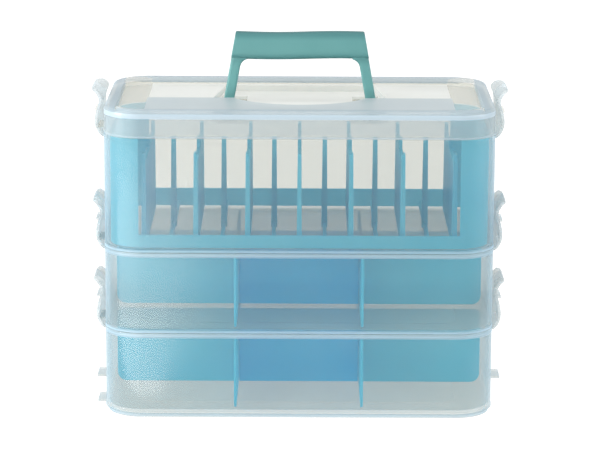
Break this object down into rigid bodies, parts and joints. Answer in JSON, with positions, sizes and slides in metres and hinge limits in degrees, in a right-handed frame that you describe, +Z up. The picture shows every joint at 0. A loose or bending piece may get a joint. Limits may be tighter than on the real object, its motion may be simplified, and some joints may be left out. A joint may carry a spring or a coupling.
{
  "type": "sewing box with trays",
  "caption": "Stack-and-carry sewing box: clear trays with lift-out dividers, a thread rack, rocking side latches and a lid with a folding bail handle.",
  "frame": {"origin": "centre of the base, on the surface the box stands on", "axes": "+X along the length towards the right side, +Y to the back, +Z up"},
  "size_m": [0.39, 0.205, 0.3465],
  "materials": {
    "clear_plastic": "frosted translucent polypropylene, satin",
    "latch_plastic": "frosted translucent polypropylene, satin",
    "blue_plastic": "tinted translucent polypropylene, satin",
    "teal_plastic": "fine matt moulded polypropylene"
  },
  "bodies": {
    "bottom_tier": {"bottom_tier": "clear_plastic"},
    "middle_tier": {"middle_tier": "clear_plastic"},
    "top_tier": {"top_tier": "clear_plastic"},
    "lid": {"lid": "clear_plastic"},
    "handle": {"handle": "teal_plastic"},
    "thread_rack": {"thread_rack": "blue_plastic"},
    "middle_long_divider": {"middle_long_divider": "blue_plastic"},
    "middle_cross_divider_left": {"middle_cross_divider_left": "blue_plastic"},
    "middle_cross_divider_right": {"middle_cross_divider_right": "blue_plastic"},
    "bottom_long_divider": {"bottom_long_divider": "blue_plastic"},
    "bottom_cross_divider_left": {"bottom_cross_divider_left": "blue_plastic"},
    "bottom_cross_divider_right": {"bottom_cross_divider_right": "blue_plastic"},
    "latch_top_left": {"latch_top_left": "latch_plastic"},
    "latch_top_right": {"latch_top_right": "latch_plastic"},
    "latch_middle_left": {"latch_middle_left": "latch_plastic"},
    "latch_middle_right": {"latch_middle_right": "latch_plastic"},
    "latch_bottom_left": {"latch_bottom_left": "latch_plastic"},
    "latch_bottom_right": {"latch_bottom_right": "latch_plastic"}
  },
  "joints": [
    {"name": "middle_tier_lift", "type": "slide", "parent": "bottom_tier", "child": "middle_tier", "axis": [0, 0, 1], "range_m": [0, 0.1]},
    {"name": "top_tier_lift", "type": "slide", "parent": "middle_tier", "child": "top_tier", "axis": [0, 0, 1], "range_m": [0, 0.1]},
    {"name": "lid_lift", "type": "slide", "parent": "top_tier", "child": "lid", "axis": [0, 0, 1], "range_m": [0, 0.12]},
    {"name": "handle_fold", "type": "hinge", "parent": "lid", "child": "handle", "pos_m": [0, 0, 0.272], "axis": [1, 0, 0], "range_deg": [-75, 0]},
    {"name": "latch_top_left_press", "type": "hinge", "parent": "lid", "child": "latch_top_left", "pos_m": [-0.186, 0, 0.2655], "axis": [0, 1, 0], "range_deg": [0, 8], "stiffness_Nm_per_rad": 0.2},
    {"name": "latch_top_right_press", "type": "hinge", "parent": "lid", "child": "latch_top_right", "pos_m": [0.186, 0, 0.2655], "axis": [0, -1, 0], "range_deg": [0, 8], "stiffness_Nm_per_rad": 0.2},
    {"name": "latch_middle_left_press", "type": "hinge", "parent": "top_tier", "child": "latch_middle_left", "pos_m": [-0.186, 0, 0.1595], "axis": [0, 1, 0], "range_deg": [0, 8], "stiffness_Nm_per_rad": 0.2},
    {"name": "latch_middle_right_press", "type": "hinge", "parent": "top_tier", "child": "latch_middle_right", "pos_m": [0.186, 0, 0.1595], "axis": [0, -1, 0], "range_deg": [0, 8], "stiffness_Nm_per_rad": 0.2},
    {"name": "latch_bottom_left_press", "type": "hinge", "parent": "middle_tier", "child": "latch_bottom_left", "pos_m": [-0.186, 0, 0.0838], "axis": [0, 1, 0], "range_deg": [0, 8], "stiffness_Nm_per_rad": 0.2},
    {"name": "latch_bottom_right_press", "type": "hinge", "parent": "middle_tier", "child": "latch_bottom_right", "pos_m": [0.186, 0, 0.0838], "axis": [0, -1, 0], "range_deg": [0, 8], "stiffness_Nm_per_rad": 0.2},
    {"name": "thread_rack_lift", "type": "slide", "parent": "top_tier", "child": "thread_rack", "axis": [0, 0, 1], "range_m": [0, 0.084]},
    {"name": "middle_long_divider_lift", "type": "slide", "parent": "middle_tier", "child": "middle_long_divider", "axis": [0, 0, 1], "range_m": [0, 0.075]},
    {"name": "middle_cross_divider_left_lift", "type": "slide", "parent": "middle_tier", "child": "middle_cross_divider_left", "axis": [0, 0, 1], "range_m": [0, 0.035]},
    {"name": "middle_cross_divider_right_lift", "type": "slide", "parent": "middle_tier", "child": "middle_cross_divider_right", "axis": [0, 0, 1], "range_m": [0, 0.035]},
    {"name": "bottom_long_divider_lift", "type": "slide", "parent": "bottom_tier", "child": "bottom_long_divider", "axis": [0, 0, 1], "range_m": [0, 0.075]},
    {"name": "bottom_cross_divider_left_lift", "type": "slide", "parent": "bottom_tier", "child": "bottom_cross_divider_left", "axis": [0, 0, 1], "range_m": [0, 0.035]},
    {"name": "bottom_cross_divider_right_lift", "type": "slide", "parent": "bottom_tier", "child": "bottom_cross_divider_right", "axis": [0, 0, 1], "range_m": [0, 0.035]}
  ],
  "couplings": [
    {"joint": "thread_rack_lift", "follows": "lid_lift", "ratio": 0.7},
    {"joint": "middle_long_divider_lift", "follows": "top_tier_lift", "ratio": 0.75},
    {"joint": "middle_cross_divider_left_lift", "follows": "top_tier_lift", "ratio": 0.35},
    {"joint": "middle_cross_divider_right_lift", "follows": "top_tier_lift", "ratio": 0.35},
    {"joint": "bottom_long_divider_lift", "follows": "middle_tier_lift", "ratio": 0.75},
    {"joint": "bottom_cross_divider_left_lift", "follows": "middle_tier_lift", "ratio": 0.35},
    {"joint": "bottom_cross_divider_right_lift", "follows": "middle_tier_lift", "ratio": 0.35}
  ]
}
